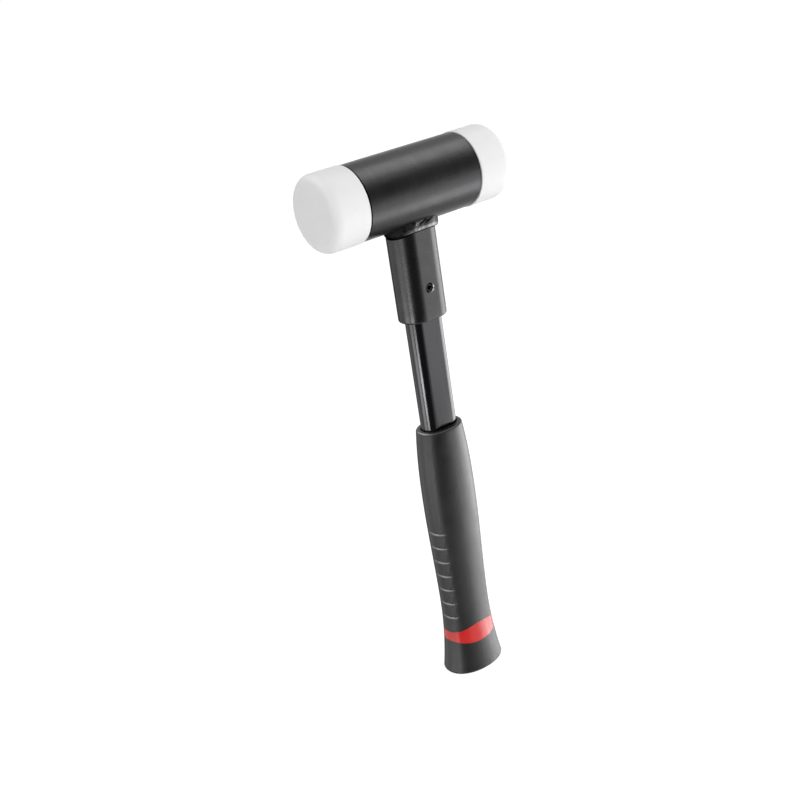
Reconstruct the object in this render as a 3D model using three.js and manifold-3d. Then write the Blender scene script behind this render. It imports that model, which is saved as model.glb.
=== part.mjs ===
// Dead blow hammer: a steel head tube with loose shot sealed inside it and a nylon face pressed into
// each end, welded to an oval neck sleeve that is pinned over an oval tube handle with a moulded grip.
// Millimetres. The origin is the middle of the butt's end face, +Z runs up the handle to the head,
// and X is the head's axis.

import * as THREE from 'three';
import { mergeVertices } from 'three/addons/utils/BufferGeometryUtils.js';
import Module from 'manifold-3d';

const wasm = await Module();
wasm.setup();

// Driving dimensions of the whole
const headAxisHeight = 284.4;
const clearance = 0.3;

// Head tube
const headDiameter = 39.2;
const headLength = 70.8;
const headWall = 3.6;
const headChamfer = 0.6;

// Nylon faces, each with a barbed spigot that is pressed into the head tube
const faceDiameter = 40;
const faceLength = 20.9;
const faceEdgeRadius = 5.2;
const faceSeatChamfer = 0.4;
const spigotLength = 8;
const spigotBarbs = 3;
const spigotBarbDepth = 0.6;

// Discs that close the shot chamber behind the spigots
const discThickness = 2;
const discChamfer = 0.5;

// Shot: balls settled in equal layers along the head
const shotDiameter = 8;
const shotLayers = 5;
const shotFillHeight = 5;
const shotSearchStep = 0.1;

// Neck sleeve and handle tube, both flat ovals: two flats between half rounds
const sleeveWidth = 27.5;
const sleeveDepth = 19.9;
const sleeveDrop = 69.6;
const sleeveRimRadius = 1;
const tubeWidth = 21.5;
const tubeDepth = 12.1;
const tubeWall = 1.6;

// Fillet weld between the sleeve and the head tube
const weldReach = 1.8;
const weldSideDrop = 4.2;
const weldEndDrop = 3.4;
const weldFullness = 0.6;

// Slotted spring pin across the sleeve and the handle tube
const pinDiameter = 4.2;
const pinWall = 0.8;
const pinSlot = 0.9;
const pinDrop = 52.2;
const pinRecess = 0.8;
const pinHoleChamfer = 0.4;

// Grip: elliptical sections that flare at the butt, draw in at the waist and swell at the belly
const gripLength = 152.8;
const gripFloor = 6;
const buttWidth = 39;
const buttDepth = 26.8;
const buttEdgeRadius = 1.2;
const waistHeight = 42;
const waistWidth = 30.5;
const waistDepth = 21;
const bellyHeight = 106.2;
const bellyWidth = 33.2;
const bellyDepth = 22.9;
const mouthWidth = 28.2;
const mouthDepth = 19.5;
const mouthLipRadius = 1.4;
const mouthRelief = 0.9;
const mouthReliefDepth = 3;
const flarePower = 1.9;
const shoulderPower = 2.4;

// Finger grooves across the two narrow sides of the grip
const grooveCount = 7;
const groovePitch = 9.08;
const grooveFirstHeight = 37.2;
const grooveHalfWidth = 1.1;
const grooveDepth = 0.8;
const grooveSpan = THREE.MathUtils.degToRad(42);
const grooveFade = THREE.MathUtils.degToRad(14);

// Coloured band inlaid round the grip, taller on the two broad sides
const bandThickness = 1.2;
const bandLowerEdge = 21.5;
const bandUpperEdge = 27.4;
const bandLowerSwell = 2.8;
const bandUpperSwell = 3;

// Fineness of the round forms
const roundSegments = 48;
const ovalSegments = 48;
const gripSegments = 44;
const flareRings = 3;
const bodyRings = 6;
const arcSteps = 4;
const pinSegments = 16;
const shotDetail = 1;

// Sizes that follow from the driving dimensions
const headRadius = headDiameter / 2;
const boreRadius = headRadius - headWall;
const faceSeat = headLength / 2 + clearance;
const spigotRadius = boreRadius - clearance;
const spigotEnd = headLength / 2 - spigotLength;
const discSeat = spigotEnd - clearance - discThickness;
const sleeveBottom = headAxisHeight - sleeveDrop;
const tubeBottom = gripFloor + clearance;
const tubeTop = headAxisHeight - headRadius - clearance;
const pinHeight = headAxisHeight - pinDrop;
const pinLength = sleeveDepth - 2 * pinRecess;
const pinHoleRadius = pinDiameter / 2 + clearance;

const finishes = {
  nylon: { color: '#eef0ee', roughness: 0.42, metalness: 0 },
  blackSteel: { color: '#2c2c2e', roughness: 0.38, metalness: 0.6 },
  weldMetal: { color: '#3a3a3b', roughness: 0.3, metalness: 0.8 },
  brightSteel: { color: '#9a9b9d', roughness: 0.35, metalness: 1 },
  rubber: { color: '#2b2b2c', roughness: 0.72, metalness: 0 },
  redRubber: { color: '#cf2a22', roughness: 0.55, metalness: 0 },
};

function makePiece(name, geometry, finish) {
  const mesh = new THREE.Mesh(geometry, new THREE.MeshStandardMaterial(finishes[finish]));
  mesh.name = name;
  return mesh;
}

// Closed surface through rings with equally many points, joined end to end or capped at both ends.
function loft(rings, joined) {
  const count = rings[0].length;
  const points = rings.flat();
  const faces = [];
  const spans = joined ? rings.length : rings.length - 1;
  for (let ring = 0; ring < spans; ring += 1) {
    const here = ring * count;
    const next = ((ring + 1) % rings.length) * count;
    for (let i = 0; i < count; i += 1) {
      const j = (i + 1) % count;
      faces.push(here + i, here + j, next + j);
      faces.push(here + i, next + j, next + i);
    }
  }
  if (!joined) {
    const lastRing = (rings.length - 1) * count;
    const firstCentre = points.push(middle(rings[0])) - 1;
    const lastCentre = points.push(middle(rings.at(-1))) - 1;
    for (let i = 0; i < count; i += 1) {
      const j = (i + 1) % count;
      faces.push(firstCentre, j, i);
      faces.push(lastRing + i, lastRing + j, lastCentre);
    }
  }
  const geometry = new THREE.BufferGeometry().setFromPoints(points);
  geometry.setIndex(faces);
  geometry.computeVertexNormals();
  return geometry;
}

function middle(ring) {
  const sum = ring.reduce((total, point) => total.add(point), new THREE.Vector3());
  return sum.divideScalar(ring.length);
}

// Points half a step off the axes, so that the flats of a flat oval lie between two of them.
function ringOf(segments, pointAt) {
  return Array.from({ length: segments }, (_, i) => pointAt(((i + 1 / 2) / segments) * 2 * Math.PI));
}

function toSolid(geometry) {
  const bare = geometry.clone();
  bare.deleteAttribute('normal');
  bare.deleteAttribute('uv');
  const merged = mergeVertices(bare);
  const vertProperties = new Float32Array(merged.attributes.position.array);
  const triVerts = new Uint32Array(merged.index.array);
  return new wasm.Manifold(new wasm.Mesh({ numProp: 3, vertProperties, triVerts }));
}

function toGeometry(solid) {
  const { vertProperties, triVerts } = solid.getMesh();
  const geometry = new THREE.BufferGeometry();
  geometry.setAttribute('position', new THREE.BufferAttribute(vertProperties, 3));
  geometry.setIndex(new THREE.BufferAttribute(triVerts, 1));
  geometry.computeVertexNormals();
  return geometry;
}

function turn(profile, segments) {
  const points = profile.map(([radius, along]) => new THREE.Vector2(radius, along));
  return new THREE.LatheGeometry(points, segments);
}

function arcProfile(centreRadius, centreAlong, radius) {
  return Array.from({ length: arcSteps + 1 }, (_, step) => {
    const angle = (step / arcSteps) * (Math.PI / 2);
    return [centreRadius + radius * Math.cos(angle), centreAlong + radius * Math.sin(angle)];
  });
}

// Head pieces, turned about their own Y axis and then laid along X

function headTubeGeometry() {
  const end = headLength / 2;
  const shoulder = end - headChamfer;
  return turn([
    [headRadius - headChamfer, -end],
    [headRadius, -shoulder],
    [headRadius, shoulder],
    [headRadius - headChamfer, end],
    [boreRadius, end],
    [boreRadius, -end],
    [headRadius - headChamfer, -end],
  ], roundSegments);
}

// Saw-toothed barbs that rise towards the seat, so the spigot goes in more easily than it comes out.
function barbProfile() {
  const pitch = spigotLength / spigotBarbs;
  const rootRadius = spigotRadius - spigotBarbDepth;
  return Array.from({ length: spigotBarbs }, (_, barb) => {
    const start = -spigotLength + barb * pitch;
    const crest = start + pitch - spigotBarbDepth;
    return [[rootRadius, start], [spigotRadius, crest], [rootRadius, start + pitch]];
  }).flatMap((barb, index) => (index === 0 ? barb : barb.slice(1)));
}

function faceGeometry() {
  const faceRadius = faceDiameter / 2;
  return turn([
    [0, -spigotLength],
    ...barbProfile(),
    [faceRadius - faceSeatChamfer, 0],
    [faceRadius, faceSeatChamfer],
    ...arcProfile(faceRadius - faceEdgeRadius, faceLength - faceEdgeRadius, faceEdgeRadius),
    [0, faceLength],
  ], roundSegments);
}

function discGeometry() {
  const rim = boreRadius - clearance;
  return turn([
    [0, 0],
    [rim - discChamfer, 0],
    [rim, discChamfer],
    [rim, discThickness - discChamfer],
    [rim - discChamfer, discThickness],
    [0, discThickness],
  ], roundSegments);
}

// Places for one layer of shot: each ball takes the lowest free place in the bore that is left.
function settledLayer() {
  const reach = boreRadius - clearance - shotDiameter / 2;
  const spacing = shotDiameter + clearance;
  const columns = Math.floor(reach / shotSearchStep);
  const places = [];
  for (let z = -reach; z <= shotFillHeight; z += shotSearchStep) {
    for (let column = 0; column <= columns; column += 1) {
      for (const side of [-1, 1]) {
        const place = new THREE.Vector2(side * column * shotSearchStep, z);
        const inside = place.length() <= reach;
        if (inside && places.every((other) => other.distanceTo(place) >= spacing)) {
          places.push(place);
        }
      }
    }
  }
  return places;
}

function addShot(head) {
  const spacing = shotDiameter + clearance;
  const geometry = new THREE.IcosahedronGeometry(shotDiameter / 2, shotDetail);
  const layer = settledLayer();
  for (let index = 0; index < shotLayers; index += 1) {
    const along = (index - (shotLayers - 1) / 2) * spacing;
    layer.forEach((place, ball) => {
      const number = String(index * layer.length + ball + 1).padStart(2, '0');
      const shot = makePiece(`shot_${number}`, geometry, 'brightSteel');
      shot.position.set(along, place.x, place.y);
      head.add(shot);
    });
  }
}

function makeHead() {
  const head = new THREE.Group();
  head.position.z = headAxisHeight;
  const tube = makePiece('head_tube', headTubeGeometry(), 'blackSteel');
  tube.rotation.z = -Math.PI / 2;
  head.add(tube);
  for (const [end, side] of [['front', -1], ['rear', 1]]) {
    const face = makePiece(`${end}_face`, faceGeometry(), 'nylon');
    face.position.x = side * faceSeat;
    face.rotation.z = -side * (Math.PI / 2);
    const disc = makePiece(`${end}_chamber_disc`, discGeometry(), 'brightSteel');
    disc.position.x = side * discSeat;
    disc.rotation.z = -side * (Math.PI / 2);
    head.add(face, disc);
  }
  addShot(head);
  return head;
}

// Neck: oval sleeve cut to the head's curve, the weld that joins them, the handle tube and its pin

// Point of a flat oval whose outline faces a direction, given as an angle.
function ovalPoint(angle, width, depth, height) {
  const radius = depth / 2;
  const halfFlat = width / 2 - radius;
  const x = Math.sign(Math.cos(angle)) * halfFlat + radius * Math.cos(angle);
  return new THREE.Vector3(x, radius * Math.sin(angle), height);
}

function ovalRing(width, depth, height) {
  return ringOf(ovalSegments, (angle) => ovalPoint(angle, width, depth, height));
}

function ovalTube(outerRings, boreWidth, boreDepth) {
  const bottom = outerRings[0][0].z;
  const top = outerRings.at(-1)[0].z;
  const bore = [ovalRing(boreWidth, boreDepth, top), ovalRing(boreWidth, boreDepth, bottom)];
  return loft([...outerRings, ...bore], true);
}

// Bar along Y for the pin's hole, with cones that chamfer it where it leaves the sleeve.
function pinHole() {
  const end = sleeveDepth / 2 + pinHoleChamfer;
  const coneStart = sleeveDepth / 2 - pinHoleChamfer;
  const coneRadius = pinHoleRadius + 2 * pinHoleChamfer;
  const bar = turn([
    [0, -end],
    [coneRadius, -end],
    [pinHoleRadius, -coneStart],
    [pinHoleRadius, coneStart],
    [coneRadius, end],
    [0, end],
  ], pinSegments);
  return toSolid(bar.translate(0, 0, pinHeight));
}

function sleeveGeometry() {
  const rim = arcProfile(-sleeveRimRadius, 0, sleeveRimRadius).reverse();
  const outer = rim.map(([inset, drop]) => ovalRing(
    sleeveWidth + 2 * inset,
    sleeveDepth + 2 * inset,
    sleeveBottom + sleeveRimRadius - drop,
  ));
  outer.push(ovalRing(sleeveWidth, sleeveDepth, headAxisHeight));
  const sleeve = toSolid(ovalTube(outer, tubeWidth + 2 * clearance, tubeDepth + 2 * clearance));
  const saddleRadius = headRadius + clearance;
  const saddle = new THREE.CylinderGeometry(saddleRadius, saddleRadius, headLength, 2 * roundSegments);
  saddle.rotateZ(Math.PI / 2).translate(0, 0, headAxisHeight);
  return toGeometry(sleeve.subtract(toSolid(saddle)).subtract(pinHole()));
}

function tubeGeometry() {
  const outer = [ovalRing(tubeWidth, tubeDepth, tubeBottom), ovalRing(tubeWidth, tubeDepth, tubeTop)];
  const tube = toSolid(ovalTube(outer, tubeWidth - 2 * tubeWall, tubeDepth - 2 * tubeWall));
  return toGeometry(tube.subtract(pinHole()));
}

// Underside of the head at a distance y from the head's axis, less the clearance.
function headUnderside(y) {
  return headAxisHeight - Math.sqrt((headRadius + clearance) ** 2 - y ** 2);
}

// One section of the bead: the root, the toe on the head, a full curve, and the toe on the sleeve.
function weldSection(angle) {
  const wall = ovalPoint(angle, sleeveWidth, sleeveDepth, 0);
  const outward = new THREE.Vector3(Math.cos(angle), Math.sin(angle), 0);
  const pointAt = (reach) => wall.clone().addScaledVector(outward, clearance + reach);
  const root = pointAt(0);
  root.z = headUnderside(root.y);
  const drop = THREE.MathUtils.lerp(weldEndDrop, weldSideDrop, Math.sin(angle) ** 2);
  const section = [root];
  for (let step = 0; step <= arcSteps; step += 1) {
    const turnAngle = (step / arcSteps) * (Math.PI / 2);
    const point = pointAt(weldReach * Math.cos(turnAngle) ** weldFullness);
    const fall = Math.sin(turnAngle);
    point.z = THREE.MathUtils.lerp(headUnderside(point.y), root.z - drop, fall);
    section.push(point);
  }
  return section;
}

function weldGeometry() {
  return loft(ringOf(ovalSegments, weldSection), true);
}

function pinGeometry() {
  const outer = pinDiameter / 2;
  const inner = outer - pinWall;
  const outerGap = Math.asin(pinSlot / 2 / outer);
  const innerGap = Math.asin(pinSlot / 2 / inner);
  const section = new THREE.Shape();
  section.absarc(0, 0, outer, outerGap, 2 * Math.PI - outerGap, false);
  section.absarc(0, 0, inner, 2 * Math.PI - innerGap, innerGap, true);
  section.closePath();
  const pin = new THREE.ExtrudeGeometry(section, {
    depth: pinLength,
    bevelEnabled: false,
    curveSegments: pinSegments,
  });
  return pin.translate(0, 0, -pinLength / 2).rotateX(Math.PI / 2).translate(0, 0, pinHeight);
}

// Grip and its inlaid band

// Half of a width or a depth of the grip at a height, eased through its four named sections.
function gripHalf(height, butt, waist, belly, mouth) {
  if (height < waistHeight) {
    const flare = (1 - height / waistHeight) ** flarePower;
    return THREE.MathUtils.lerp(waist, butt, flare) / 2;
  }
  if (height < bellyHeight) {
    const swell = THREE.MathUtils.smoothstep(height, waistHeight, bellyHeight);
    return THREE.MathUtils.lerp(waist, belly, swell) / 2;
  }
  const taper = ((height - bellyHeight) / (gripLength - bellyHeight)) ** shoulderPower;
  return THREE.MathUtils.lerp(belly, mouth, taper) / 2;
}

function gripPoint(angle, height, inset) {
  const x = gripHalf(height, buttWidth, waistWidth, bellyWidth, mouthWidth) - inset;
  const y = gripHalf(height, buttDepth, waistDepth, bellyDepth, mouthDepth) - inset;
  return new THREE.Vector3(x * Math.cos(angle), y * Math.sin(angle), height);
}

function gripRing(height, inset) {
  return ringOf(gripSegments, (angle) => gripPoint(angle, height, inset));
}

// Share of a groove's full depth: whole on the narrow sides, fading out towards the broad ones.
function grooveShare(angle) {
  const fromNarrowSide = Math.abs(Math.atan(Math.tan(angle)));
  return 1 - THREE.MathUtils.smoothstep(fromNarrowSide, grooveSpan - grooveFade, grooveSpan);
}

function grooveRings(height) {
  const bottom = ringOf(gripSegments, (angle) => gripPoint(angle, height, grooveDepth * grooveShare(angle)));
  return [gripRing(height - grooveHalfWidth, 0), bottom, gripRing(height + grooveHalfWidth, 0)];
}

function bandLower(angle) {
  return bandLowerEdge - bandLowerSwell * Math.sin(angle) ** 2;
}

function bandUpper(angle) {
  return bandUpperEdge + bandUpperSwell * Math.sin(angle) ** 4;
}

// Ring on the grip, sunk by an inset, at a share of the way from the band's lower to its upper edge.
function bandRing(share, margin, inset) {
  return ringOf(gripSegments, (angle) => {
    const lower = bandLower(angle) - margin;
    const upper = bandUpper(angle) + margin;
    return gripPoint(angle, THREE.MathUtils.lerp(lower, upper, share), inset);
  });
}

// Rings evenly spaced strictly between two heights.
function ringsBetween(low, high, count) {
  return Array.from({ length: count }, (_, i) => gripRing(low + ((i + 1) / (count + 1)) * (high - low), 0));
}

function gripGeometry() {
  const bandRecess = bandThickness + clearance;
  const bandLowest = bandLowerEdge - bandLowerSwell - clearance;
  const grooveLast = grooveFirstHeight + (grooveCount - 1) * groovePitch + grooveHalfWidth;
  const lipStart = gripLength - mouthLipRadius;
  const boreWidth = tubeWidth + 2 * clearance;
  const boreDepth = tubeDepth + 2 * clearance;
  const boreRing = (height, widening) => ringOf(gripSegments, (angle) => (
    ovalPoint(angle, boreWidth + 2 * widening, boreDepth + 2 * widening, height)));
  const buttEdge = arcProfile(-buttEdgeRadius, 0, buttEdgeRadius).reverse();
  const lip = arcProfile(-mouthLipRadius, 0, mouthLipRadius);
  const grooves = Array.from({ length: grooveCount }, (_, i) => grooveFirstHeight + i * groovePitch);
  return loft([
    ...buttEdge.map(([inset, drop]) => gripRing(buttEdgeRadius - drop, -inset)),
    ...ringsBetween(buttEdgeRadius, bandLowest, flareRings),
    bandRing(0, clearance, 0),
    bandRing(0, clearance, bandRecess),
    bandRing(1, clearance, bandRecess),
    bandRing(1, clearance, 0),
    ...grooves.flatMap(grooveRings),
    ...ringsBetween(grooveLast, lipStart, bodyRings),
    ...lip.map(([inset, rise]) => gripRing(lipStart + rise, -inset)),
    boreRing(gripLength, mouthRelief),
    boreRing(gripLength - mouthReliefDepth, 0),
    boreRing(gripFloor, 0),
  ], false);
}

function bandGeometry() {
  return loft([
    bandRing(0, 0, 0),
    bandRing(1 / 2, 0, 0),
    bandRing(1, 0, 0),
    bandRing(1, 0, bandThickness),
    bandRing(0, 0, bandThickness),
  ], true);
}

function makeHandle() {
  const handle = new THREE.Group();
  handle.add(makePiece('neck_sleeve', sleeveGeometry(), 'blackSteel'));
  handle.add(makePiece('weld_bead', weldGeometry(), 'weldMetal'));
  handle.add(makePiece('handle_tube', tubeGeometry(), 'blackSteel'));
  handle.add(makePiece('spring_pin', pinGeometry(), 'blackSteel'));
  handle.add(makePiece('grip', gripGeometry(), 'rubber'));
  handle.add(makePiece('grip_band', bandGeometry(), 'redRubber'));
  return handle;
}

const hammer = new THREE.Group();
hammer.add(makeHead(), makeHandle());

export default hammer;
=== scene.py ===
from math import atan, copysign, cos, exp, pi, radians, sin, sqrt, tan

import bmesh
import bpy
from mathutils import Matrix, Vector, noise


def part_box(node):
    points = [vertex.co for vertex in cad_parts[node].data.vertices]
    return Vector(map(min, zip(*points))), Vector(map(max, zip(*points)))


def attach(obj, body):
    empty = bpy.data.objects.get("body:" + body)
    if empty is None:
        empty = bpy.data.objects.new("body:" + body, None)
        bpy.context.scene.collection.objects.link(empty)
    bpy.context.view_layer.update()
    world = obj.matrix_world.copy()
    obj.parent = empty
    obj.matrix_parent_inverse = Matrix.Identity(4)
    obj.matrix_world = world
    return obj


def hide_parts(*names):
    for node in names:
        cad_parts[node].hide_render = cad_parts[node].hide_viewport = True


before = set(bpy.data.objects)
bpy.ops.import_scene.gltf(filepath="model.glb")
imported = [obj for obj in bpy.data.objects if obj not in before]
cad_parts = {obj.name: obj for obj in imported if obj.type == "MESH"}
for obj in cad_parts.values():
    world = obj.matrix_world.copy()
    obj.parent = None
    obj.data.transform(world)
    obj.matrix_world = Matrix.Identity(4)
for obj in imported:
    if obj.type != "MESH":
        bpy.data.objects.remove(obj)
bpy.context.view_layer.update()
scene = bpy.context.scene

MM = 0.001

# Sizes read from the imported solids, in metres
head_low, head_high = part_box("head_tube")
HEAD_END = head_high.x
HEAD_RADIUS = (head_high.z - head_low.z) / 2
HEAD_Z = (head_high.z + head_low.z) / 2
face_low, face_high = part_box("rear_face")
SPIGOT_END = face_low.x
FACE_END = face_high.x
FACE_RADIUS = face_high.y
disc_low, disc_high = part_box("rear_chamber_disc")
sleeve_low, sleeve_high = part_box("neck_sleeve")
SLEEVE_WIDTH = sleeve_high.x - sleeve_low.x
SLEEVE_DEPTH = sleeve_high.y - sleeve_low.y
SLEEVE_BOTTOM = sleeve_low.z
tube_low, tube_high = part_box("handle_tube")
TUBE_WIDTH = tube_high.x - tube_low.x
TUBE_DEPTH = tube_high.y - tube_low.y
pin_low, pin_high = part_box("spring_pin")
PIN_Z = (pin_high.z + pin_low.z) / 2
PIN_END = pin_high.y
_, grip_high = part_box("grip")

# Head details
CLEARANCE = 0.3 * MM
HEAD_WALL = 3.6 * MM
HEAD_EDGE = 0.5 * MM
# Painted shade on the head's end edges starts this far in from their rounding
HEAD_PAINTED_SHADE_FADE = 0.25 * MM
FACE_EDGE = 5.4 * MM
FACE_EDGE_EASE = 0.9
FACE_CROWN = 0.35 * MM
FACE_SEAT_EDGE = 0.4 * MM
SPIGOT_BARBS = 3
BARB_DEPTH = 0.6 * MM
DISC_EDGE = 0.5 * MM
SHOT_DENT_SIZE = 2.5 * MM
SHOT_DENT_DEPTH = 0.06 * MM

# Neck details
SLEEVE_RIM = 1.0 * MM
TUBE_WALL = 1.6 * MM
PIN_RADIUS = 2.1 * MM
PIN_WALL = 0.8 * MM
PIN_SLOT = 0.9 * MM
PIN_CHAMFER = 0.3 * MM
PIN_HOLE = 2.4 * MM
PIN_HOLE_CHAMFER = 0.4 * MM
PIN_HOLE_CHAMFER_DEPTH = 0.55 * MM
FLAT_FACING = 0.9

# Form of the weld bead; a share runs down its section, from 0 at the head to 1 at the sleeve
WELD_REACH = 1.6 * MM
WELD_REACH_SWING = 0.6 * MM
WELD_SIDE_DROP = 4.0 * MM
WELD_END_DROP = 3.2 * MM
WELD_HEIGHT = 8.4 * MM
WELD_FULLNESS = 0.42
WELD_TOE = 0.88
WELD_LEAN = 0.7
WELD_LUMP = 0.22 * MM
WELD_LUMP_SIZE = 2.2 * MM
# Strip under the bead's toe that carries painted shadow, taller towards the left end
WELD_SHADOW_STRIP = 0.5 * MM
WELD_SHADOW_STRIP_LEFT = 1.1 * MM
WELD_SHADOW_STRIP_LEFT_FADE = 0.8
WELD_SHADOW_STRIP_RISE = 0.15 * MM

# Crevices and gas pit of the weld, placed by their distance along it from the middle of the front flat
WELD_CREVICES = (-7.3 * MM, 0.3 * MM, 3.8 * MM)
WELD_CREVICE_SHARE = 0.12
WELD_CREVICE_HEAD = (0.0, 0.05)
WELD_CREVICE_FOOT = (0.16, 0.24)
WELD_CREVICE_RUN = 24 * MM
WELD_CREVICE_WIDTH = 0.9 * MM
WELD_CREVICE_DEPTH = 0.6 * MM
WELD_PIT = -3.2 * MM
WELD_PIT_SHARE = 0.17
WELD_PIT_RADIUS = 0.55 * MM
WELD_PIT_DEPTH = 0.15 * MM

# Painted shade on the weld, from 0 for none to 1, darkest near the head, for the shadow on the left end, in
# the crevices and on the strip under the toe, lighter towards the right; the pit's ring gets almost none, a
# painted highlight round its dark hole; ring and hole of the pit are as wide as these shares of its radius
PAINTED_SHADE_UPPER = 0.75
PAINTED_SHADE_LOWER = 0.3
PAINTED_SHADE_EDGE = (0.3, 0.42)
PAINTED_SHADE_RIGHT_LOSS = 0.25
PAINTED_SHADE_LEFT = 0.96
PAINTED_SHADE_LEFT_COSINES = (-0.75, -0.25)
PAINTED_SHADE_PIT_RING = 0.05
PIT_RING_WIDTH = 0.35
PIT_HOLE_WIDTH = 0.6

# Grip sections: width along X and depth along Y
BUTT = (37.4 * MM, 27.7 * MM)
WAIST = (29.5 * MM, 21.8 * MM)
BELLY = (32.1 * MM, 23.8 * MM)
MOUTH = (27.3 * MM, 20.3 * MM)
GRIP_SQUARENESS = 2.13
GRIP_FLOOR = 6.0 * MM
WAIST_Z = 42.0 * MM
BELLY_Z = 106.2 * MM
BUTT_EDGE = 1.2 * MM
LIP = 1.0 * MM
MOUTH_DROP = 0.6 * MM
MOUTH_RELIEF = 0.2 * MM
MOUTH_RELIEF_DEPTH = 3.0 * MM
GRIP_LENGTH = grip_high.z - MOUTH_DROP
FLARE_POWER = 1.9
SHOULDER_POWER = 2.4

# Finger grooves on the two narrow sides of the grip
GROOVE_COUNT = 7
GROOVE_PITCH = 9.14 * MM
GROOVE_FIRST_Z = 36.6 * MM
GROOVE_HALF_WIDTH = 0.8 * MM
GROOVE_DEPTH = 0.72 * MM
GROOVE_ROUNDING = 1.2
GROOVE_SPAN = radians(44)
GROOVE_FADE = radians(10)

# Band inlaid round the grip, taller on the two broad sides
BAND_THICKNESS = 1.2 * MM
BAND_LOWER = 21.1 * MM
BAND_UPPER = 26.8 * MM
BAND_LOWER_SWELL = 2.8 * MM
BAND_UPPER_SWELL = 3.0 * MM
BAND_SEAM = 0.04 * MM

# Fineness of the meshes
ROUND = 146
ARC_STEPS = 8
FACE_EDGE_STEPS = 24
FACE_CROWN_STEPS = 16
SHOT_SUBDIVISIONS = 4
SLEEVE_STEPS = 10
TUBE_STEPS = 24
PIN_STEPS = 73
WELD_ROUND_SECTIONS = 120
WELD_FLAT_SECTIONS = 40
WELD_STEPS = 32
FLARE_STEPS = 10
GROOVE_STEPS = 14
BODY_STEPS = 30
BAND_STEPS = 10
BAND_BACK_STEPS = 2
FLOOR_SEGMENTS = 96

# Edges that are sharper than these angles, in degrees, stay crisp
SHARP = 35
SHARP_OVAL = 30
SHARP_WELD = 60

# Colours of the painted shade and the painted highlight that some meshes carry as marks
PAINTED_SHADE_COLOUR = (0.002, 0.002, 0.002, 1)
CHAMFER_HIGHLIGHT_COLOUR = (0.3, 0.3, 0.3, 1)

# Values between which most of the noise lies
NOISE_LOW = 0.3
NOISE_HIGH = 0.7

# Camera fitted to the photograph
CAMERA_AZIMUTH = radians(-34.61)
CAMERA_ELEVATION = radians(22.35)
CAMERA_ROLL = radians(-9.05)
CAMERA_AIM = Vector((-22.73 * MM, 0, HEAD_Z - 109.2 * MM))
CAMERA_DISTANCE = 657.0 * MM
CAMERA_LENS = 55.97
CAMERA_SENSOR = 36.0

# Surroundings
WORLD_FILL = 0.46
FLOOR_RADIUS = 3.0
FLOOR_DROP = 0.1 * MM
FLOOR_PAPER = 0.8
FLOOR_SHADE = 0.35
FLOOR_GLOW = 0.88

# Lamps and cards stand round this point, at this distance
LIGHT_CENTRE = Vector((0, 0, 0.18))
STAND_DISTANCE = 1.5
# Power of a square metre of lamp that shines with a glow of 1
LAMP_POWER = 4

# Name, azimuth, elevation, width and height in degrees, glow, and the surfaces that are lit
SOFT_BOXES = (
    ("left_strip", -65.5, -22, 17, 4.5, 9.8, "all"),
    ("left_panel", -98, -22, 26, 10, 2.4, "all"),
    ("low_panel", 51, -35, 24, 20, 2.8, "all"),
    ("front_panel", 40, -12, 22, 22, 0.8, "all"),
    ("right_panel", 79, -21, 40, 28, 3.6, "glossy"),
    ("top_panel", 86, 59, 30, 27, 2.1, "all"),
    ("high_left_panel", -125, 50, 80, 42, 6.0, "glossy"),
    ("left_fill", -85, 10, 40, 40, 0.42, "matte"),
    ("front_fill", 15, 15, 50, 50, 1.15, "matte"),
    ("low_fill", 5, -50, 50, 40, 0.5, "matte"),
)

# Name, azimuth, elevation, tilt, width and height in degrees, shade, and the share of the card that is soft
FLAGS = (
    ("front_flag", -1, 0.5, 40, 138, 56, 0.09, 0.3),
    ("back_flag", 174, -14, 0, 46, 82, 0.22, 0.4),
    ("top_flag", 140, 30, 0, 36, 34, 0.55, 0.5),
    ("low_flag", 112, -56, 0, 60, 50, 0.7, 0.4),
    ("low_left_flag", -155, -58, 0, 90, 46, 0.08, 0.4),
)


# Mesh building

def spread(start, stop, steps):
    """Evenly spaced values from start to stop, both included."""
    return [start + (stop - start) * i / steps for i in range(steps + 1)]


def lerp(start, stop, share):
    return start + (stop - start) * share


def smoothstep(value, low, high):
    share = min(max((value - low) / (high - low), 0), 1)
    return share * share * (3 - 2 * share)


def even(value):
    """A height or an inset that is the same all round a ring."""
    return lambda place: value


def between(lower_at, upper_at, share):
    """The height at a share of the way from one height to another, where both may change round a ring."""
    return lambda place: lerp(lower_at(place), upper_at(place), share)


def angles():
    """Directions round a ring, half a step off the axes."""
    return [2 * pi * (i + 0.5) / ROUND - pi / 2 for i in range(ROUND)]


def arc(centre, radius, start, stop):
    """Points of an arc round a centre in a profile plane, from one angle in degrees to another."""
    turns = spread(radians(start), radians(stop), ARC_STEPS)
    return [(centre[0] + radius * cos(turn), centre[1] + radius * sin(turn)) for turn in turns]


def loft(name, rings, joined=False):
    """Closed mesh through rings with equally many points, joined end to start or capped at both ends."""
    count = len(rings[0])
    points = [point for ring in rings for point in ring]
    faces = []
    spans = len(rings) if joined else len(rings) - 1
    for ring in range(spans):
        here = ring * count
        there = (ring + 1) % len(rings) * count
        for i in range(count):
            j = (i + 1) % count
            faces.append((here + i, here + j, there + j, there + i))
    if not joined:
        faces.append(tuple(reversed(range(count))))
        faces.append(tuple(range(len(points) - count, len(points))))
    mesh = bpy.data.meshes.new(name)
    mesh.from_pydata(points, [], faces)
    outward(mesh)
    return mesh


def outward(mesh):
    """Turns every face outward."""
    shape = bmesh.new()
    shape.from_mesh(mesh)
    bmesh.ops.recalc_face_normals(shape, faces=shape.faces)
    shape.to_mesh(mesh)
    shape.free()


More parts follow.
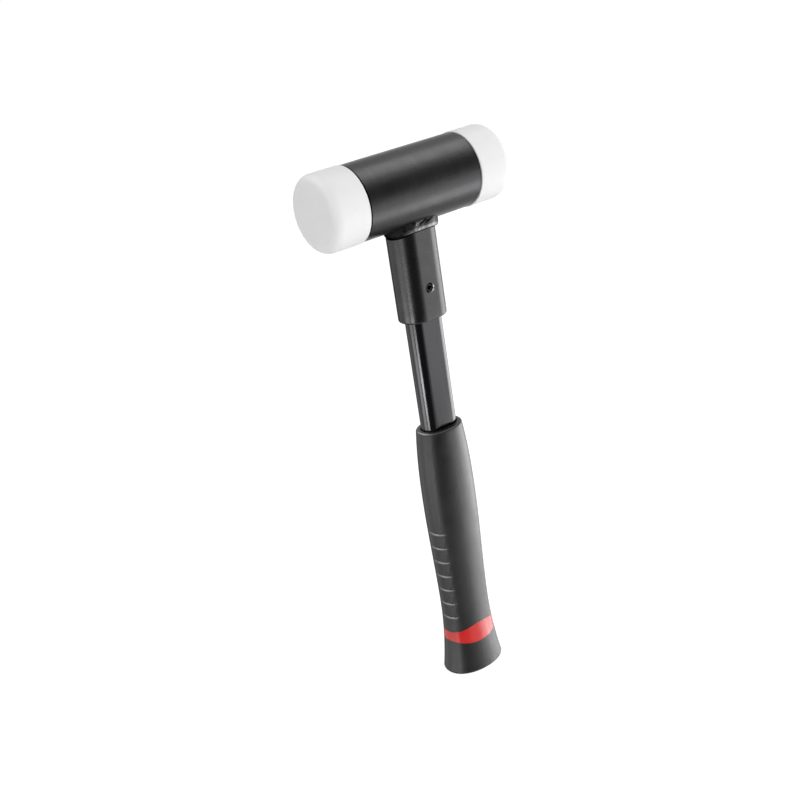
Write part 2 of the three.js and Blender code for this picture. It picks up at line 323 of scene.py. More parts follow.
def add_piece(name, mesh, material, node, body="hammer", sharp_angle=SHARP):
    """A finished piece that stands for a solid of the frame and rides on its body."""
    mesh.materials.clear()
    mesh.materials.append(material)
    mesh.shade_smooth()
    mesh.set_sharp_from_angle(angle=radians(sharp_angle))
    piece = bpy.data.objects.new(name, mesh)
    scene.collection.objects.link(piece)
    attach(piece, body)
    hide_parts(node)


def cut(name, mesh, cutter_mesh):
    """The mesh less the cutter."""
    body = bpy.data.objects.new(name, mesh)
    cutter = bpy.data.objects.new(name + "_cutter", cutter_mesh)
    for item in (body, cutter):
        scene.collection.objects.link(item)
    boolean = body.modifiers.new("hole", "BOOLEAN")
    boolean.operation = "DIFFERENCE"
    boolean.solver = "EXACT"
    boolean.object = cutter
    bpy.context.view_layer.update()
    evaluated = body.evaluated_get(bpy.context.evaluated_depsgraph_get())
    result = bpy.data.meshes.new_from_object(evaluated)
    for item in (body, cutter):
        bpy.data.objects.remove(item)
    return result


# Material building

def new_finish(name, constants):
    """A node material whose shader sockets hold the given constants."""
    material = bpy.data.materials.new(name)
    material.use_nodes = True
    shader = material.node_tree.nodes["Principled BSDF"]
    for socket, value in constants.items():
        shader.inputs[socket].default_value = value
    return material


def add_node(material, kind, constants=None):
    node = material.node_tree.nodes.new(kind)
    for socket, value in (constants or {}).items():
        node.inputs[socket].default_value = value
    return node


def link(material, output, node, socket):
    material.node_tree.links.new(output, node.inputs[socket])


def link_shader(material, output, socket):
    link(material, output, material.node_tree.nodes["Principled BSDF"], socket)


def grain(material, size, stretch=(1, 1, 1), detail=3.0):
    """Noise fixed to the piece, with features of about the given size, drawn out along stretch."""
    place = add_node(material, "ShaderNodeTexCoord")
    mapping = add_node(material, "ShaderNodeMapping")
    mapping.inputs["Scale"].default_value = [1 / factor for factor in stretch]
    link(material, place.outputs["Object"], mapping, "Vector")
    pattern = add_node(material, "ShaderNodeTexNoise", {"Scale": 1 / size, "Detail": detail})
    link(material, mapping.outputs["Vector"], pattern, "Vector")
    return pattern.outputs["Fac"]


def roughened(material, pattern, low, high):
    """Spreads the material's roughness from low to high by a pattern."""
    spreader = add_node(material, "ShaderNodeMapRange", {
        "From Min": NOISE_LOW, "From Max": NOISE_HIGH, "To Min": low, "To Max": high})
    link(material, pattern, spreader, "Value")
    link_shader(material, spreader.outputs["Result"], "Roughness")


def tinted(material, pattern, dark, light):
    """Colours the material from dark to light by a pattern."""
    ramp = add_node(material, "ShaderNodeValToRGB")
    ramp.color_ramp.elements[0].position = NOISE_LOW
    ramp.color_ramp.elements[0].color = (*dark, 1)
    ramp.color_ramp.elements[1].position = NOISE_HIGH
    ramp.color_ramp.elements[1].color = (*light, 1)
    link(material, pattern, ramp, "Fac")
    link_shader(material, ramp.outputs["Color"], "Base Color")
    return ramp.outputs["Color"]


def embossed(material, *layers):
    """Raises patterns as relief, each with its own depth in metres, one upon the other."""
    below = None
    for pattern, depth in layers:
        bump = add_node(material, "ShaderNodeBump", {"Strength": 1.0, "Distance": depth})
        link(material, pattern, bump, "Height")
        if below:
            link(material, below, bump, "Normal")
        below = bump.outputs["Normal"]
    link_shader(material, below, "Normal")


def marked(material, colour, mark, shade):
    """Turns a colour into a shade where the mesh carries a mark."""
    carried = add_node(material, "ShaderNodeAttribute")
    carried.attribute_name = mark
    blend = add_node(material, "ShaderNodeMixRGB", {"Color2": shade})
    link(material, carried.outputs["Fac"], blend, "Fac")
    link(material, colour, blend, "Color1")
    link_shader(material, blend.outputs["Color"], "Base Color")


def head_steel():
    material = new_finish("head_steel_satin_black", {"Metallic": 1.0})
    turning = grain(material, 0.5 * MM, stretch=(1, 40, 40))
    patches = grain(material, 6 * MM, stretch=(1, 2, 2))
    pores = grain(material, 0.7 * MM)
    dents = grain(material, 1.3 * MM, stretch=(4, 1, 1))
    colour = tinted(material, turning, dark=(0.047, 0.047, 0.0485), light=(0.057, 0.057, 0.0585))
    # Painted shade on the marked end edges, for the shadow in the joint to the nylon
    marked(material, colour, "painted_shade", PAINTED_SHADE_COLOUR)
    roughened(material, patches, low=0.31, high=0.38)
    embossed(material, (turning, 0.003 * MM), (pores, 0.016 * MM), (dents, 0.05 * MM))
    return material


def sleeve_steel():
    material = new_finish("sleeve_steel_satin_charcoal", {
        "Metallic": 1.0,
        "Specular Tint": (0.75, 0.75, 0.75, 1),
    })
    speckle = grain(material, 0.3 * MM)
    patches = grain(material, 5 * MM)
    waves = grain(material, 2 * MM)
    colour = tinted(material, patches, dark=(0.056, 0.056, 0.057), light=(0.064, 0.064, 0.065))
    # Painted highlight: the pin hole's chamfer takes a light steel colour
    marked(material, colour, "painted_highlight", CHAMFER_HIGHLIGHT_COLOUR)
    roughened(material, speckle, low=0.23, high=0.29)
    embossed(material, (speckle, 0.006 * MM), (waves, 0.004 * MM))
    return material


def tube_steel():
    material = new_finish("tube_steel_semi_gloss", {"Metallic": 1.0})
    drawing = grain(material, 0.4 * MM, stretch=(1, 1, 60))
    patches = grain(material, 7 * MM, stretch=(1, 1, 3))
    pores = grain(material, 0.6 * MM)
    tinted(material, drawing, dark=(0.05, 0.05, 0.052), light=(0.06, 0.06, 0.062))
    roughened(material, patches, low=0.14, high=0.19)
    embossed(material, (drawing, 0.003 * MM), (pores, 0.003 * MM))
    return material


def weld_metal():
    material = new_finish("weld_blackened", {
        "Metallic": 1.0,
        "Specular Tint": (0.4, 0.4, 0.4, 1),
    })
    scale = grain(material, 1.6 * MM)
    patches = grain(material, 1.0 * MM)
    pores = grain(material, 0.4 * MM)
    colour = tinted(material, scale, dark=(0.15, 0.15, 0.152), light=(0.24, 0.24, 0.243))
    # Painted shade for the shadow near the head, on the left end, in the crevices and under the toe, with a
    # painted highlight round the pit
    marked(material, colour, "painted_shade", PAINTED_SHADE_COLOUR)
    roughened(material, patches, low=0.32, high=0.45)
    embossed(material, (scale, 0.03 * MM), (pores, 0.008 * MM))
    return material


def pin_steel():
    material = new_finish("pin_blackened_spring_steel", {"Metallic": 1.0})
    streaks = grain(material, 0.3 * MM, stretch=(1, 12, 1))
    tinted(material, streaks, dark=(0.02, 0.02, 0.0205), light=(0.05, 0.05, 0.051))
    roughened(material, streaks, low=0.28, high=0.4)
    embossed(material, (streaks, 0.006 * MM))
    return material


def inner_steel():
    material = new_finish("disc_pressed_steel", {"Metallic": 1.0})
    rings = grain(material, 0.4 * MM, stretch=(1, 8, 8))
    patches = grain(material, 3 * MM)
    tinted(material, rings, dark=(0.38, 0.38, 0.39), light=(0.46, 0.46, 0.47))
    roughened(material, patches, low=0.3, high=0.45)
    embossed(material, (rings, 0.01 * MM))
    return material


def shot_steel():
    material = new_finish("shot_tumbled_steel", {"Metallic": 1.0})
    dents = grain(material, 1.0 * MM, detail=4.0)
    scuffs = grain(material, 0.6 * MM)
    tinted(material, dents, dark=(0.33, 0.33, 0.34), light=(0.47, 0.47, 0.48))
    roughened(material, scuffs, low=0.28, high=0.5)
    embossed(material, (dents, 0.03 * MM))
    return material


def nylon():
    material = new_finish("nylon_milky", {
        "IOR": 1.46,
        "Subsurface Weight": 0.35,
        "Subsurface Radius": (1.0, 1.0, 1.0),
        "Subsurface Scale": 3 * MM,
    })
    clouds = grain(material, 9 * MM)
    turning = grain(material, 0.35 * MM, stretch=(1, 30, 30))
    waves = grain(material, 1.2 * MM)
    tinted(material, clouds, dark=(0.846, 0.848, 0.847), light=(0.869, 0.871, 0.87))
    roughened(material, turning, low=0.55, high=0.65)
    embossed(material, (turning, 0.004 * MM), (waves, 0.004 * MM))
    return material


def grip_rubber():
    material = new_finish("grip_rubber_matte_black", {"IOR": 1.54})
    pores = grain(material, 0.28 * MM, detail=4.0)
    handling = grain(material, 8 * MM)
    pebbles = grain(material, 0.9 * MM)
    tinted(material, handling, dark=(0.006, 0.006, 0.0062), light=(0.009, 0.009, 0.0092))
    roughened(material, handling, low=0.35, high=0.41)
    embossed(material, (pores, 0.03 * MM), (pebbles, 0.06 * MM))
    return material


def band_rubber():
    material = new_finish("band_rubber_red", {"IOR": 1.55})
    pores = grain(material, 0.3 * MM)
    clouds = grain(material, 6 * MM)
    tinted(material, clouds, dark=(0.6, 0.016, 0.013), light=(0.66, 0.02, 0.016))
    roughened(material, clouds, low=0.22, high=0.27)
    embossed(material, (pores, 0.004 * MM))
    return material


# Head

def turned(profile, side=1):
    """Rings about the head's axis through points along and away from it, mirrored for the front side."""
    rings = []
    for along, radius in profile:
        rings.append([Vector((side * along, radius * cos(turn), HEAD_Z + radius * sin(turn)))
                      for turn in angles()])
    return rings


def make_head_tube(material):
    """Tube with rounded ends, whose end edges are marked for painted shade, the shadow of the gap to the
    nylon faces.
    """
    bore = HEAD_RADIUS - HEAD_WALL
    body_end = HEAD_END - HEAD_EDGE - HEAD_PAINTED_SHADE_FADE
    rear_edge = arc((HEAD_END - HEAD_EDGE, HEAD_RADIUS - HEAD_EDGE), HEAD_EDGE, 90, 0)
    rear = [(body_end, HEAD_RADIUS), *rear_edge]
    front = [(-along, radius) for along, radius in reversed(rear)]
    profile = [*rear, (HEAD_END, bore), (-HEAD_END, bore), *front]
    mesh = loft("steel_head_tube", turned(profile), joined=True)
    # The end edges are marked for painted shade
    painted_shade = [float(abs(along) > body_end) for along, _ in profile for _ in range(ROUND)]
    mesh.attributes.new("painted_shade", "FLOAT", "POINT").data.foreach_set("value", painted_shade)
    add_piece("steel_head_tube", mesh, material, "head_tube")


def spigot_profile(seat):
    """Saw-toothed barbs that rise towards the seat of the face."""
    tip_radius = HEAD_RADIUS - HEAD_WALL - CLEARANCE
    root_radius = tip_radius - BARB_DEPTH
    pitch = (seat - SPIGOT_END) / SPIGOT_BARBS
    profile = [(SPIGOT_END, root_radius)]
    for barb in range(SPIGOT_BARBS):
        barb_end = SPIGOT_END + (barb + 1) * pitch
        profile += [(barb_end - BARB_DEPTH, tip_radius), (barb_end, root_radius)]
    return profile


def striking_profile():
    """Edge that turns over gradually into a slightly crowned face."""
    profile = []
    for turn in spread(pi / 2, 0, FACE_EDGE_STEPS):
        along = FACE_END - FACE_CROWN - FACE_EDGE * (1 - cos(turn) ** FACE_EDGE_EASE)
        profile.append((along, FACE_RADIUS - FACE_EDGE * (1 - sin(turn) ** FACE_EDGE_EASE)))
    crown_radius = FACE_RADIUS - FACE_EDGE
    for share in spread(1, 0, FACE_CROWN_STEPS)[1:-1]:
        profile.append((FACE_END - FACE_CROWN * share ** 2, crown_radius * share))
    return profile


def make_faces(material):
    seat = HEAD_END + CLEARANCE
    seat_edge = arc((seat + FACE_SEAT_EDGE, FACE_RADIUS - FACE_SEAT_EDGE), FACE_SEAT_EDGE, 180, 90)
    profile = [*spigot_profile(seat), *seat_edge, *striking_profile()]
    for end, side in (("front", -1), ("rear", 1)):
        name = end + "_nylon_face"
        mesh = loft(name, turned(profile, side))
        add_piece(name, mesh, material, end + "_face")


def make_discs(material):
    rim = disc_high.y
    inner_edge = arc((disc_low.x + DISC_EDGE, rim - DISC_EDGE), DISC_EDGE, 180, 90)
    outer_edge = arc((disc_high.x - DISC_EDGE, rim - DISC_EDGE), DISC_EDGE, 90, 0)
    for end, side in (("front", -1), ("rear", 1)):
        name = end + "_steel_disc"
        mesh = loft(name, turned([*inner_edge, *outer_edge], side))
        add_piece(name, mesh, material, end + "_chamber_disc")


def make_shot(material):
    """Balls with the small dents that tumbling leaves."""
    for node in sorted(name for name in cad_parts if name.startswith("shot_")):
        low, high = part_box(node)
        centre = (low + high) / 2
        radius = (high.z - low.z) / 2
        shape = bmesh.new()
        bmesh.ops.create_icosphere(shape, subdivisions=SHOT_SUBDIVISIONS, radius=radius)
        for vertex in shape.verts:
            place = vertex.co + centre
            dent = max(noise.noise(place / SHOT_DENT_SIZE), 0) * SHOT_DENT_DEPTH
            vertex.co = centre + vertex.co * (1 - dent / radius)
        mesh = bpy.data.meshes.new("steel_" + node)
        shape.to_mesh(mesh)
        shape.free()
        add_piece("steel_" + node, mesh, material, node, body="shot_charge")


# Neck

def oval_ring(width, depth, height_at):
    """Flat oval, two flats between half rounds, whose height may change across the head as y does."""
    radius = depth / 2
    half_flat = width / 2 - radius
    ring = []
    for side, middle in ((1, 0), (-1, pi)):
        for turn in spread(middle - pi / 2, middle + pi / 2, ROUND // 2 - 1):
            y = radius * sin(turn)
            ring.append(Vector((side * half_flat + radius * cos(turn), y, height_at(y))))
    return ring


def head_underside(y, gap=CLEARANCE):
    """Height of the head's lower side, less a gap."""
    return HEAD_Z - sqrt((HEAD_RADIUS + gap) ** 2 - y ** 2)


def pin_hole_cutter():
    """Bar along Y at the pin, with cones that chamfer the hole where it leaves the sleeve."""
    cone_start = SLEEVE_DEPTH / 2 - PIN_HOLE_CHAMFER_DEPTH
    end = SLEEVE_DEPTH / 2 + PIN_HOLE_CHAMFER_DEPTH
    profile = [(-end, PIN_HOLE + 2 * PIN_HOLE_CHAMFER), (-cone_start, PIN_HOLE)]
    profile += [(-along, radius) for along, radius in reversed(profile)]
    rings = []
    for along, radius in profile:
        rings.append([Vector((radius * cos(turn), along, PIN_Z + radius * sin(turn)))
                      for turn in angles()])
    return loft("pin_hole_cutter", rings)


def mark_highlight_chamfer(mesh):
    """Marks the faces of the pin hole's chamfer, which take a light steel colour as a painted highlight on
    the hole's rim.
    """
    painted_highlight = mesh.attributes.new("painted_highlight", "FLOAT", "FACE")
    for face in mesh.polygons:
        from_axis = sqrt(face.center.x ** 2 + (face.center.z - PIN_Z) ** 2)
        on_cone = PIN_HOLE < from_axis < PIN_HOLE + PIN_HOLE_CHAMFER
        on_side = abs(face.center.y) > SLEEVE_DEPTH / 2 - PIN_HOLE_CHAMFER_DEPTH
        slanting = abs(face.normal.y) < FLAT_FACING
        painted_highlight.data[face.index].value = float(on_cone and on_side and slanting)


def make_sleeve(material):
    """Flat oval socket from a rounded lower rim up to a saddle under the head."""
    bore_width = TUBE_WIDTH + 2 * CLEARANCE
    bore_depth = TUBE_DEPTH + 2 * CLEARANCE
    bottom = even(SLEEVE_BOTTOM)
    rim_top = even(SLEEVE_BOTTOM + SLEEVE_RIM)
    rings = []
    for inset, rise in arc((SLEEVE_RIM, SLEEVE_RIM), SLEEVE_RIM, 270, 180)[:-1]:
        width = SLEEVE_WIDTH - 2 * inset
        depth = SLEEVE_DEPTH - 2 * inset
        rings.append(oval_ring(width, depth, even(SLEEVE_BOTTOM + rise)))
    for share in spread(0, 1, SLEEVE_STEPS):
        rings.append(oval_ring(SLEEVE_WIDTH, SLEEVE_DEPTH, between(rim_top, head_underside, share)))
    for share in spread(1, 0, SLEEVE_STEPS):
        rings.append(oval_ring(bore_width, bore_depth, between(bottom, head_underside, share)))
    mesh = loft("oval_neck_sleeve", rings, joined=True)
    mesh = cut("oval_neck_sleeve", mesh, pin_hole_cutter())
    mark_highlight_chamfer(mesh)
    add_piece("oval_neck_sleeve", mesh, material, "neck_sleeve", sharp_angle=SHARP_OVAL)


def make_tube(material):
    inner_width = TUBE_WIDTH - 2 * TUBE_WALL
    inner_depth = TUBE_DEPTH - 2 * TUBE_WALL
    rings = []
    for z in spread(tube_low.z, tube_high.z, TUBE_STEPS):
        rings.append(oval_ring(TUBE_WIDTH, TUBE_DEPTH, even(z)))
    for z in spread(tube_high.z, tube_low.z, TUBE_STEPS):
        rings.append(oval_ring(inner_width, inner_depth, even(z)))
    mesh = loft("oval_handle_tube", rings, joined=True)
    mesh = cut("oval_handle_tube", mesh, pin_hole_cutter())
    add_piece("oval_handle_tube", mesh, material, "handle_tube", sharp_angle=SHARP_OVAL)


def make_pin(material):
    """Rolled pin: a chamfered wall section swept round from one side of the slot to the other."""
    inner = PIN_RADIUS - PIN_WALL
    shoulder = PIN_END - PIN_CHAMFER
    section = [
        (inner, -PIN_END), (PIN_RADIUS - PIN_CHAMFER, -PIN_END), (PIN_RADIUS, -shoulder),
        (PIN_RADIUS, shoulder), (PIN_RADIUS - PIN_CHAMFER, PIN_END), (inner, PIN_END),
    ]
    half_slot = PIN_SLOT / 2 / PIN_RADIUS
    rings = []
    for turn in spread(half_slot, 2 * pi - half_slot, PIN_STEPS):
        rings.append([Vector((radius * cos(turn), along, PIN_Z + radius * sin(turn)))
                      for radius, along in section])
    mesh = loft("slotted_spring_pin", rings)
    add_piece("slotted_spring_pin", mesh, material, "spring_pin")


def weld_path():
    """Points of the sleeve's outline, the angle each faces and its distance from the front's middle."""
    radius = SLEEVE_DEPTH / 2
    half_flat = SLEEVE_WIDTH / 2 - radius
    path = []
    for side, middle in ((1, 0), (-1, pi)):
        start = half_flat if side > 0 else 3 * half_flat + pi * radius
        for step in spread(0, 1, WELD_ROUND_SECTIONS):
            turn = middle + pi * (step - 0.5)
            x = side * half_flat + radius * cos(turn)
            path.append((x, radius * sin(turn), turn, start + pi * radius * step))
        for step in spread(0, 1, WELD_FLAT_SECTIONS)[1:-1]:
            x = side * lerp(half_flat, -half_flat, step)
            distance = start + pi * radius + 2 * half_flat * step
            path.append((x, side * radius, middle + pi / 2, distance))
    return path


def along_weld(distance, mark):
    """Way from a mark on the bead, or from its twin on the far side, to a distance along the bead."""
    half_length = pi * SLEEVE_DEPTH / 2 + SLEEVE_WIDTH - SLEEVE_DEPTH
    return (distance - mark + half_length / 2) % half_length - half_length / 2


def weld_crevice(distance, share):
    """Depth from 0 to 1 of the slanting crevices in the upper side of the bead."""
    window = smoothstep(share, *WELD_CREVICE_HEAD) * (1 - smoothstep(share, *WELD_CREVICE_FOOT))
    depth = 0.0
    for mark in WELD_CREVICES:
        offset = along_weld(distance, mark) - (WELD_CREVICE_SHARE - share) * WELD_CREVICE_RUN
        depth = max(depth, exp(-(offset / WELD_CREVICE_WIDTH) ** 2))
    return depth * window


def weld_pit(distance, share):
    """Way from the middle of the gas pit, in pit radii."""
    drop = (share - WELD_PIT_SHARE) * WELD_HEIGHT
    return sqrt(along_weld(distance, WELD_PIT) ** 2 + drop ** 2) / WELD_PIT_RADIUS


def weld_painted_shade(turn, distance, share):
    """Painted shade from 0 to 1: all over the shaded left end, the crevices and the toe, least on the
    bead's lower edge, with a painted highlight ring round the pit.
    """
    if share > WELD_TOE:
        return 1.0
    left = 1 - smoothstep(cos(turn), *PAINTED_SHADE_LEFT_COSINES)
    body = lerp(PAINTED_SHADE_UPPER, PAINTED_SHADE_LOWER, smoothstep(share, *PAINTED_SHADE_EDGE))
    body -= PAINTED_SHADE_RIGHT_LOSS * max(cos(turn), 0)
    pit = weld_pit(distance, share)
    ring = exp(-((pit - 1) / PIT_RING_WIDTH) ** 2)
    hole = exp(-(pit / PIT_HOLE_WIDTH) ** 2)
    painted_shade = lerp(lerp(body, PAINTED_SHADE_LEFT, left), 1, weld_crevice(distance, share))
    return min(max(lerp(painted_shade, PAINTED_SHADE_PIT_RING, ring) + hole, 0), 1)


def weld_section(x, y, turn, distance):
    """Root of the bead, its edge on the head, its full curve and the strip on the sleeve that carries
    painted shadow.
    """
    wall = Vector((x, y, 0))
    out = Vector((cos(turn), sin(turn), 0))
    lean = Vector((out.x, out.y, -WELD_LEAN)).normalized()
    bulge = WELD_REACH + WELD_REACH_SWING * cos(turn)
    root_z = head_underside(y)
    drop = lerp(WELD_END_DROP, WELD_SIDE_DROP, sin(turn) ** 2)
    shadow_strip = lerp(WELD_SHADOW_STRIP, WELD_SHADOW_STRIP_LEFT, smoothstep(-cos(turn), 0, WELD_SHADOW_STRIP_LEFT_FADE))
    section = [Vector((x, y, root_z))]
    for share in spread(0, 1, WELD_STEPS):
        if share > WELD_TOE:
            strip = (share - WELD_TOE) / (1 - WELD_TOE)
            point = wall + out * WELD_SHADOW_STRIP_RISE * (1 - strip)
            point.z = root_z - drop - shadow_strip * strip
            section.append(point)
            continue
        bow = share / WELD_TOE * pi / 2
        point = wall + out * max(bulge * cos(bow) ** WELD_FULLNESS, WELD_SHADOW_STRIP_RISE)
        point.z = lerp(head_underside(point.y, 0), root_z - drop, sin(bow))
        lump = WELD_LUMP * noise.noise(point / WELD_LUMP_SIZE) * sin(2 * bow)
        lump -= WELD_CREVICE_DEPTH * weld_crevice(distance, share)
        lump -= WELD_PIT_DEPTH * exp(-weld_pit(distance, share) ** 2)
        section.append(point + lean * lump)
    return section


def make_weld(material):
    """Bead that follows the saddle between the sleeve and the head, with its painted shade as a mark."""
    path = weld_path()
    mesh = loft("fillet_weld_bead", [weld_section(*place) for place in path], joined=True)
    painted_shade = []
    for _, _, turn, distance in path:
        painted_shade += [1.0] + [weld_painted_shade(turn, distance, share) for share in spread(0, 1, WELD_STEPS)]
    mesh.attributes.new("painted_shade", "FLOAT", "POINT").data.foreach_set("value", painted_shade)
    add_piece("fillet_weld_bead", mesh, material, "weld_bead", sharp_angle=SHARP_WELD)


# Grip

def grip_half(z, part):
    """Half the grip's width, part 0, or depth, part 1, at a height."""
    if z < WAIST_Z:
        flare = (1 - z / WAIST_Z) ** FLARE_POWER
        return lerp(WAIST[part], BUTT[part], flare) / 2
    if z < BELLY_Z:
        return lerp(WAIST[part], BELLY[part], smoothstep(z, WAIST_Z, BELLY_Z)) / 2
    taper = ((z - BELLY_Z) / (GRIP_LENGTH - BELLY_Z)) ** SHOULDER_POWER
    return lerp(BELLY[part], MOUTH[part], taper) / 2


def squared(value):
    """Sine or cosine of a turn, drawn out so that the oval bulges towards its corners."""
    return copysign(abs(value) ** (2 / GRIP_SQUARENESS), value)


def grip_point(turn, z, inset):
    """Point of the grip in a direction at a height, some way under its surface."""
    x = (grip_half(z, 0) - inset) * squared(cos(turn))
    y = (grip_half(z, 1) - inset) * squared(sin(turn))
    return Vector((x, y, z))


def grip_ring(height_at, inset_at=even(0.0)):
    """Ring on the grip's surface with a height and an inset that may change round it."""
    return [grip_point(turn, height_at(turn), inset_at(turn)) for turn in angles()]


def groove_share(turn):
    """Share of a groove's full depth: whole on the narrow sides, fading out towards the broad ones."""
    from_narrow_side = abs(atan(tan(turn)))
    return 1 - smoothstep(from_narrow_side, GROOVE_SPAN - GROOVE_FADE, GROOVE_SPAN)


def groove_rings(middle):
    """Rings across one rounded V groove."""
    rings = []
    for offset in spread(-1, 1, GROOVE_STEPS):
        height = middle + offset * GROOVE_HALF_WIDTH
        depth = GROOVE_DEPTH * (1 - abs(offset) ** GROOVE_ROUNDING) ** GROOVE_ROUNDING
        rings.append(grip_ring(even(height), lambda turn: depth * groove_share(turn)))
    return rings


def band_lower(turn):
    """Height of the band's lower edge, which dips on the broad sides."""
    return BAND_LOWER - BAND_LOWER_SWELL * sin(turn) ** 2


def band_upper(turn):
    """Height of the band's upper edge, which rises to a crest on the broad sides."""
    return BAND_UPPER + BAND_UPPER_SWELL * sin(turn) ** 4


def below_band(turn):
    return band_lower(turn) - BAND_SEAM


def above_band(turn):
    return band_upper(turn) + BAND_SEAM


def mouth_rings():
    """Rings of the bore from the mouth, where it is a little wider, down to its floor."""
    bore_width = TUBE_WIDTH + 2 * CLEARANCE
    bore_depth = TUBE_DEPTH + 2 * CLEARANCE
    relief = 2 * MOUTH_RELIEF
    return [
        oval_ring(bore_width + relief, bore_depth + relief, even(GRIP_LENGTH)),
        oval_ring(bore_width, bore_depth, even(GRIP_LENGTH - MOUTH_RELIEF_DEPTH)),
        oval_ring(bore_width, bore_depth, even(GRIP_FLOOR)),
    ]


def make_grip(material):
    """Rings from the butt over the seat of the band, the grooves and the lip into the bore."""
    band_seat = even(BAND_THICKNESS + BAND_SEAM)
    groove_zs = [GROOVE_FIRST_Z + i * GROOVE_PITCH for i in range(GROOVE_COUNT)]
    first_groove = even(groove_zs[0] - GROOVE_HALF_WIDTH)
    last_groove = groove_zs[-1] + GROOVE_HALF_WIDTH
    lip_start = GRIP_LENGTH - LIP
    rings = []
    for inset, height in arc((BUTT_EDGE, BUTT_EDGE), BUTT_EDGE, 270, 180):
        rings.append(grip_ring(even(height), even(inset)))
    for share in spread(0, 1, FLARE_STEPS)[1:]:
        rings.append(grip_ring(between(even(BUTT_EDGE), below_band, share)))
    rings.append(grip_ring(below_band, band_seat))
    rings.append(grip_ring(above_band, band_seat))
    for share in spread(0, 1, FLARE_STEPS)[:-1]:
        rings.append(grip_ring(between(above_band, first_groove, share)))
    for middle in groove_zs:
        rings += groove_rings(middle)
    for z in spread(last_groove, lip_start, BODY_STEPS)[1:]:
        rings.append(grip_ring(even(z)))
    for inset, height in arc((LIP, lip_start), LIP, 180, 90)[1:]:
        rings.append(grip_ring(even(height), even(inset)))
    rings += mouth_rings()
    add_piece("moulded_grip", loft("moulded_grip", rings), material, "grip")


def make_band(material):
    """Rings up the outside of the band and down its back."""
    rings = []
    for share in spread(0, 1, BAND_STEPS):
        rings.append(grip_ring(between(band_lower, band_upper, share)))
    for share in spread(1, 0, BAND_BACK_STEPS):
        rings.append(grip_ring(between(band_lower, band_upper, share), even(BAND_THICKNESS)))
    mesh = loft("inlaid_red_band", rings, joined=True)
    add_piece("inlaid_red_band", mesh, material, "grip_band")


# Stage

def add_camera():
    data = bpy.data.cameras.new("camera")
    data.lens = CAMERA_LENS
    data.sensor_width = CAMERA_SENSOR
    camera = bpy.data.objects.new("camera", data)
    scene.collection.objects.link(camera)
    turn = Matrix.Rotation(CAMERA_AZIMUTH, 4, "Z")
    turn @= Matrix.Rotation(pi / 2 - CAMERA_ELEVATION, 4, "X")
    turn @= Matrix.Rotation(CAMERA_ROLL, 4, "Z")
    away = turn.to_3x3() @ Vector((0, 0, CAMERA_DISTANCE))
    camera.matrix_world = Matrix.Translation(CAMERA_AIM + away) @ turn
    scene.camera = camera


def seen_rays(tree):
    """1 for rays by which the camera, gloss or glass sees the surroundings, 0 for light that they cast."""
    path = tree.nodes.new("ShaderNodeLightPath")
    seen = path.outputs["Is Camera Ray"]
    for kind in ("Is Glossy Ray", "Is Transmission Ray"):
        either = tree.nodes.new("ShaderNodeMath")
        either.operation = "MAXIMUM"
        tree.links.new(seen, either.inputs[0])
        tree.links.new(path.outputs[kind], either.inputs[1])
        seen = either.outputs[0]
    return seen


def grey_shader(tree, kind, shade):
    node = tree.nodes.new(kind)
    node.inputs["Color"].default_value = (shade, shade, shade, 1)
    return node


def link_mix(tree, factor, first, second, output):
    """Feeds an output with the first shader where the factor is 0 and the second where it is 1."""
    mix = tree.nodes.new("ShaderNodeMixShader")
    tree.links.new(factor, mix.inputs["Fac"])
    tree.links.new(first.outputs[0], mix.inputs[1])
    tree.links.new(second.outputs[0], mix.inputs[2])
    tree.links.new(mix.outputs[0], tree.nodes[output].inputs["Surface"])


def new_bare_material(name):
    """A node material with nothing in it but its output."""
    material = bpy.data.materials.new(name)
    material.use_nodes = True
    nodes = material.node_tree.nodes
    nodes.remove(nodes["Principled BSDF"])
    return material


def add_world():
    world = bpy.data.worlds.new("white_tent")
    world.use_nodes = True
    tree = world.node_tree
    fill = tree.nodes["Background"]
    fill.inputs["Color"].default_value = (1, 1, 1, 1)
    fill.inputs["Strength"].default_value = WORLD_FILL
    white = grey_shader(tree, "ShaderNodeBackground", 1)
    white.inputs["Strength"].default_value = 1.0
    link_mix(tree, seen_rays(tree), fill, white, "World Output")
    scene.world = world


def floor_material():
    """White paper: to the eye it glows to white, and what is left of its own shading is the shadow."""
    material = new_bare_material("floor_white")
    tree = material.node_tree
    paper = grey_shader(tree, "ShaderNodeBsdfDiffuse", FLOOR_PAPER)
    shadow = grey_shader(tree, "ShaderNodeBsdfDiffuse", FLOOR_SHADE)
    glow = grey_shader(tree, "ShaderNodeEmission", FLOOR_GLOW)
    both = tree.nodes.new("ShaderNodeAddShader")
    tree.links.new(shadow.outputs[0], both.inputs[0])
    tree.links.new(glow.outputs[0], both.inputs[1])
    link_mix(tree, seen_rays(tree), paper, both, "Material Output")
    return material


def add_floor():
    shape = bmesh.new()
    bmesh.ops.create_circle(shape, cap_ends=True, segments=FLOOR_SEGMENTS, radius=FLOOR_RADIUS)
    mesh = bpy.data.meshes.new("floor")
    shape.to_mesh(mesh)
    shape.free()
    mesh.materials.append(floor_material())
    floor = bpy.data.objects.new("floor", mesh)
    floor.location.z = -FLOOR_DROP
    scene.collection.objects.link(floor)
    floor.visible_glossy = False
    floor.visible_shadow = False


def direction(azimuth, elevation):
    """Unit vector; azimuth 0 is towards -Y and 90 towards +X, in degrees."""
    turn = radians(azimuth)
    rise = radians(elevation)
    return Vector((sin(turn) * cos(rise), -cos(turn) * cos(rise), sin(rise)))


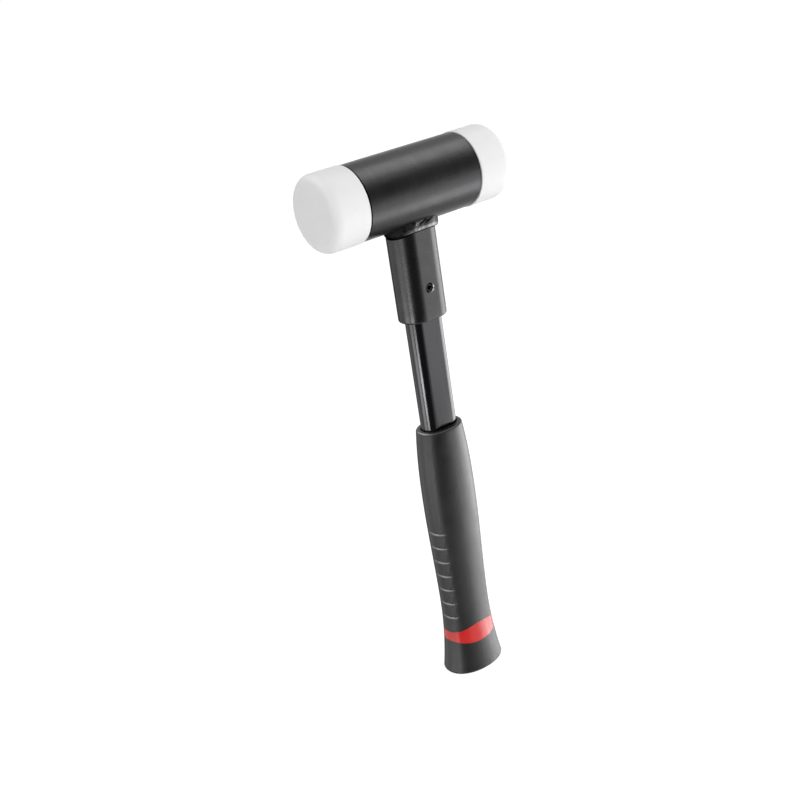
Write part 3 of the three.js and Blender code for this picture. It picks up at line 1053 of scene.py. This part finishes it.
def facing(azimuth, elevation, tilt=0):
    """Place and turn of a stand that looks at the hammer from a direction, tilted about its own axis."""
    away = direction(azimuth, elevation)
    turn = away.to_track_quat("Z", "Y").to_matrix().to_4x4()
    turn @= Matrix.Rotation(radians(tilt), 4, "Z")
    return Matrix.Translation(LIGHT_CENTRE + away * STAND_DISTANCE) @ turn


def filling(degrees):
    """Length on a stand that fills an angle, seen from the hammer."""
    return 2 * STAND_DISTANCE * tan(radians(degrees) / 2)


def add_soft_box(name, azimuth, elevation, width, height, glow, lit):
    """Area lamp in a direction, as wide and high as the angles given, which shines as bright as glow."""
    data = bpy.data.lights.new(name, "AREA")
    data.shape = "RECTANGLE"
    data.size = filling(width)
    data.size_y = filling(height)
    data.energy = LAMP_POWER * data.size * data.size_y * glow
    lamp = bpy.data.objects.new(name, data)
    lamp.matrix_world = facing(azimuth, elevation)
    lamp.visible_camera = False
    lamp.visible_diffuse = lit != "glossy"
    lamp.visible_glossy = lit != "matte"
    scene.collection.objects.link(lamp)


def flag_material(name, shade, softness):
    """Grey card that thins out to nothing over its rim."""
    material = new_bare_material(name)
    tree = material.node_tree
    place = tree.nodes.new("ShaderNodeTexCoord")
    round_fade = tree.nodes.new("ShaderNodeTexGradient")
    round_fade.gradient_type = "SPHERICAL"
    tree.links.new(place.outputs["Object"], round_fade.inputs["Vector"])
    rim = tree.nodes.new("ShaderNodeMapRange")
    rim.interpolation_type = "SMOOTHSTEP"
    rim.inputs["From Max"].default_value = softness
    tree.links.new(round_fade.outputs["Fac"], rim.inputs["Value"])
    card = grey_shader(tree, "ShaderNodeEmission", shade)
    open_air = tree.nodes.new("ShaderNodeBsdfTransparent")
    link_mix(tree, rim.outputs["Result"], open_air, card, "Material Output")
    return material


def add_flag(name, azimuth, elevation, tilt, width, height, shade, softness):
    """Oval card that the glossy surfaces mirror in place of the white surroundings."""
    mesh = bpy.data.meshes.new(name)
    mesh.from_pydata([(-1, -1, 0), (1, -1, 0), (1, 1, 0), (-1, 1, 0)], [], [(0, 1, 2, 3)])
    mesh.materials.append(flag_material(name, shade, softness))
    flag = bpy.data.objects.new(name, mesh)
    half_size = Matrix.Diagonal((filling(width) / 2, filling(height) / 2, 1, 1))
    flag.matrix_world = facing(azimuth, elevation, tilt) @ half_size
    scene.collection.objects.link(flag)
    flag.visible_camera = False
    flag.visible_diffuse = False
    flag.visible_transmission = False
    flag.visible_shadow = False


def add_lights():
    for soft_box in SOFT_BOXES:
        add_soft_box(*soft_box)
    for flag in FLAGS:
        add_flag(*flag)


scene.view_settings.view_transform = "Standard"
make_head_tube(head_steel())
make_faces(nylon())
make_discs(inner_steel())
make_shot(shot_steel())
make_sleeve(sleeve_steel())
make_tube(tube_steel())
make_pin(pin_steel())
make_weld(weld_metal())
make_grip(grip_rubber())
make_band(band_rubber())
add_camera()
add_world()
add_floor()
add_lights()
